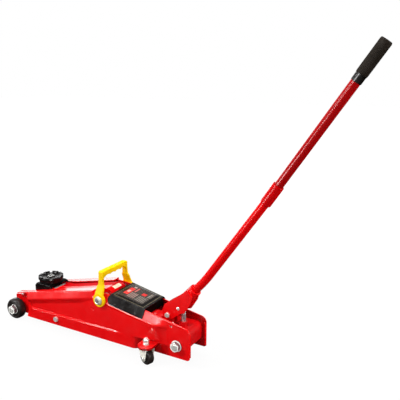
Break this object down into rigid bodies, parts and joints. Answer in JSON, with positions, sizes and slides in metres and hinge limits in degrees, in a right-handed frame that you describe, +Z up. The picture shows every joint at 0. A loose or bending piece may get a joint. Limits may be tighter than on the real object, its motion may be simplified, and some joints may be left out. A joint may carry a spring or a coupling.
{
  "type": "hydraulic trolley jack",
  "caption": "Low hydraulic floor jack: pressed red side frame on wheels and swivel casters, lift arm with toothed saddle, yellow carry handle and a long bent pump handle.",
  "frame": {"origin": "centre of the footprint box, on the floor under the wheels and casters", "axes": "+X from the saddle end towards the handle grip, +Y to the right of someone standing at the handle, +Z up"},
  "size_m": [0.962, 0.17, 0.7332],
  "materials": {
    "red_paint": "gloss",
    "black_paint": "satin",
    "black_iron": "matte",
    "zinc_plate": "satin",
    "bare_steel": "satin",
    "wheel_nylon": "matte",
    "grip_rubber": "matte",
    "yellow_plastic": "satin"
  },
  "bodies": {
    "frame": {"side_plate_left": "red_paint", "side_plate_right": "red_paint", "axle_spacer": "red_paint", "tie_tube": "red_paint", "tie_bolt": "zinc_plate", "tie_nut": "zinc_plate", "front_axle": "bare_steel", "axle_nut_left": "zinc_plate", "axle_nut_right": "zinc_plate", "pivot_shaft": "bare_steel", "link_anchor": "bare_steel", "link_anchor_pin": "zinc_plate", "pump_block": "red_paint", "oil_tank": "red_paint", "ram_gland": "bare_steel", "return_spring_left": "bare_steel", "return_spring_right": "bare_steel", "relief_screw": "zinc_plate", "frame_bolt": "zinc_plate", "frame_bolt_nut_left": "zinc_plate", "frame_bolt_nut_right": "zinc_plate", "socket_bolt_left": "zinc_plate", "socket_bolt_right": "zinc_plate", "caster_stem_left": "zinc_plate", "caster_stem_right": "zinc_plate", "caster_nut_left": "zinc_plate", "caster_nut_right": "zinc_plate", "carry_handle_nut_left": "zinc_plate", "carry_handle_nut_right": "zinc_plate", "cover": "black_paint"},
    "front_wheel_left_body": {"front_wheel_left": "wheel_nylon"},
    "front_wheel_right_body": {"front_wheel_right": "wheel_nylon"},
    "lift_arm_body": {"lift_arm": "red_paint", "lever_pin": "bare_steel", "bracket_pin": "zinc_plate"},
    "link_body": {"levelling_link": "bare_steel"},
    "bracket_body": {"saddle_bracket": "black_paint", "link_tip_pin": "zinc_plate"},
    "saddle_body": {"saddle": "black_iron", "saddle_clip": "zinc_plate"},
    "ram_body": {"ram": "bare_steel", "ram_yoke": "bare_steel"},
    "plunger_body": {"pump_plunger": "bare_steel"},
    "socket_body": {"handle_socket": "red_paint"},
    "handle_body": {"lower_handle_tube": "red_paint", "release_joint": "bare_steel", "handle_coupler": "red_paint", "upper_handle_tube": "red_paint", "handle_grip": "grip_rubber"},
    "button_body": {"snap_button": "zinc_plate"},
    "valve_body": {"release_valve": "bare_steel"},
    "carry_handle_body": {"carry_handle": "yellow_plastic"},
    "caster_left_body": {"caster_yoke_left": "zinc_plate", "caster_wheel_pin_left": "zinc_plate"},
    "caster_wheel_left_body": {"caster_wheel_left": "wheel_nylon"},
    "caster_right_body": {"caster_yoke_right": "zinc_plate", "caster_wheel_pin_right": "zinc_plate"},
    "caster_wheel_right_body": {"caster_wheel_right": "wheel_nylon"}
  },
  "joints": [
    {"name": "lift_arm_raise", "type": "hinge", "parent": "frame", "child": "lift_arm_body", "pos_m": [-0.14668, 0, 0.124], "axis": [0, 1, 0], "range_deg": [0, 66]},
    {"name": "level_link_swing", "type": "hinge", "parent": "frame", "child": "link_body", "pos_m": [-0.15668, 0, 0.101], "axis": [0, 1, 0], "range_deg": [0, 66]},
    {"name": "saddle_bracket_level", "type": "hinge", "parent": "lift_arm_body", "child": "bracket_body", "pos_m": [-0.34268, 0, 0.092], "axis": [0, 1, 0], "range_deg": [-66, 0]},
    {"name": "saddle_spin", "type": "hinge", "parent": "bracket_body", "child": "saddle_body", "pos_m": [-0.36868, 0, 0.11], "axis": [0, 0, 1], "continuous": true},
    {"name": "ram_stroke", "type": "slide", "parent": "frame", "child": "ram_body", "axis": [-1, 0, 0], "range_m": [0, 0.05674]},
    {"name": "handle_pump", "type": "hinge", "parent": "frame", "child": "socket_body", "pos_m": [0.02932, 0, 0.112], "axis": [0, 1, 0], "range_deg": [0, 36], "stiffness_Nm_per_rad": 2.5, "springref_deg": -74.48},
    {"name": "plunger_stroke", "type": "slide", "parent": "frame", "child": "plunger_body", "axis": [0, 0, -1], "range_m": [0, 0.0236]},
    {"name": "handle_twist", "type": "hinge", "parent": "socket_body", "child": "handle_body", "pos_m": [0.02932, 0, 0.112], "axis": [0.6794, 0, 0.7337], "range_deg": [0, 180]},
    {"name": "release_valve_turn", "type": "hinge", "parent": "frame", "child": "valve_body", "pos_m": [0.02932, 0, 0.112], "axis": [0.891, 0, 0.454], "range_deg": [0, 180]},
    {"name": "snap_button_press", "type": "slide", "parent": "handle_body", "child": "button_body", "axis": [0.831, 0, -0.5563], "range_m": [0, 0.005], "stiffness_N_per_m": 600, "springref_m": -0.003},
    {"name": "carry_handle_tilt", "type": "hinge", "parent": "frame", "child": "carry_handle_body", "pos_m": [-0.14668, 0, 0.124], "axis": [0, 1, 0], "range_deg": [0, 48]},
    {"name": "front_wheel_left_roll", "type": "hinge", "parent": "frame", "child": "front_wheel_left_body", "pos_m": [-0.45268, -0.054, 0.0285], "axis": [0, 1, 0], "continuous": true},
    {"name": "front_wheel_right_roll", "type": "hinge", "parent": "frame", "child": "front_wheel_right_body", "pos_m": [-0.45268, 0.054, 0.0285], "axis": [0, 1, 0], "continuous": true},
    {"name": "caster_left_swivel", "type": "hinge", "parent": "frame", "child": "caster_left_body", "pos_m": [-0.00068, -0.065, 0.045], "axis": [0, 0, 1], "continuous": true},
    {"name": "caster_left_roll", "type": "hinge", "parent": "caster_left_body", "child": "caster_wheel_left_body", "pos_m": [0.00268, -0.06596, 0.018], "axis": [0.2756, 0.9613, 0], "continuous": true},
    {"name": "caster_right_swivel", "type": "hinge", "parent": "frame", "child": "caster_right_body", "pos_m": [-0.00068, 0.065, 0.045], "axis": [0, 0, 1], "continuous": true},
    {"name": "caster_right_roll", "type": "hinge", "parent": "caster_right_body", "child": "caster_wheel_right_body", "pos_m": [0.00282, 0.065, 0.018], "axis": [0, 1, 0], "continuous": true}
  ],
  "couplings": [
    {"joint": "level_link_swing", "follows": "lift_arm_raise", "ratio": 1},
    {"joint": "saddle_bracket_level", "follows": "lift_arm_raise", "ratio": -1},
    {"joint": "ram_stroke", "follows": "lift_arm_raise", "m_per_rad": 0.049172},
    {"joint": "plunger_stroke", "follows": "handle_pump", "m_per_rad": 0.037401},
    {"joint": "release_valve_turn", "follows": "handle_twist", "ratio": 1}
  ]
}
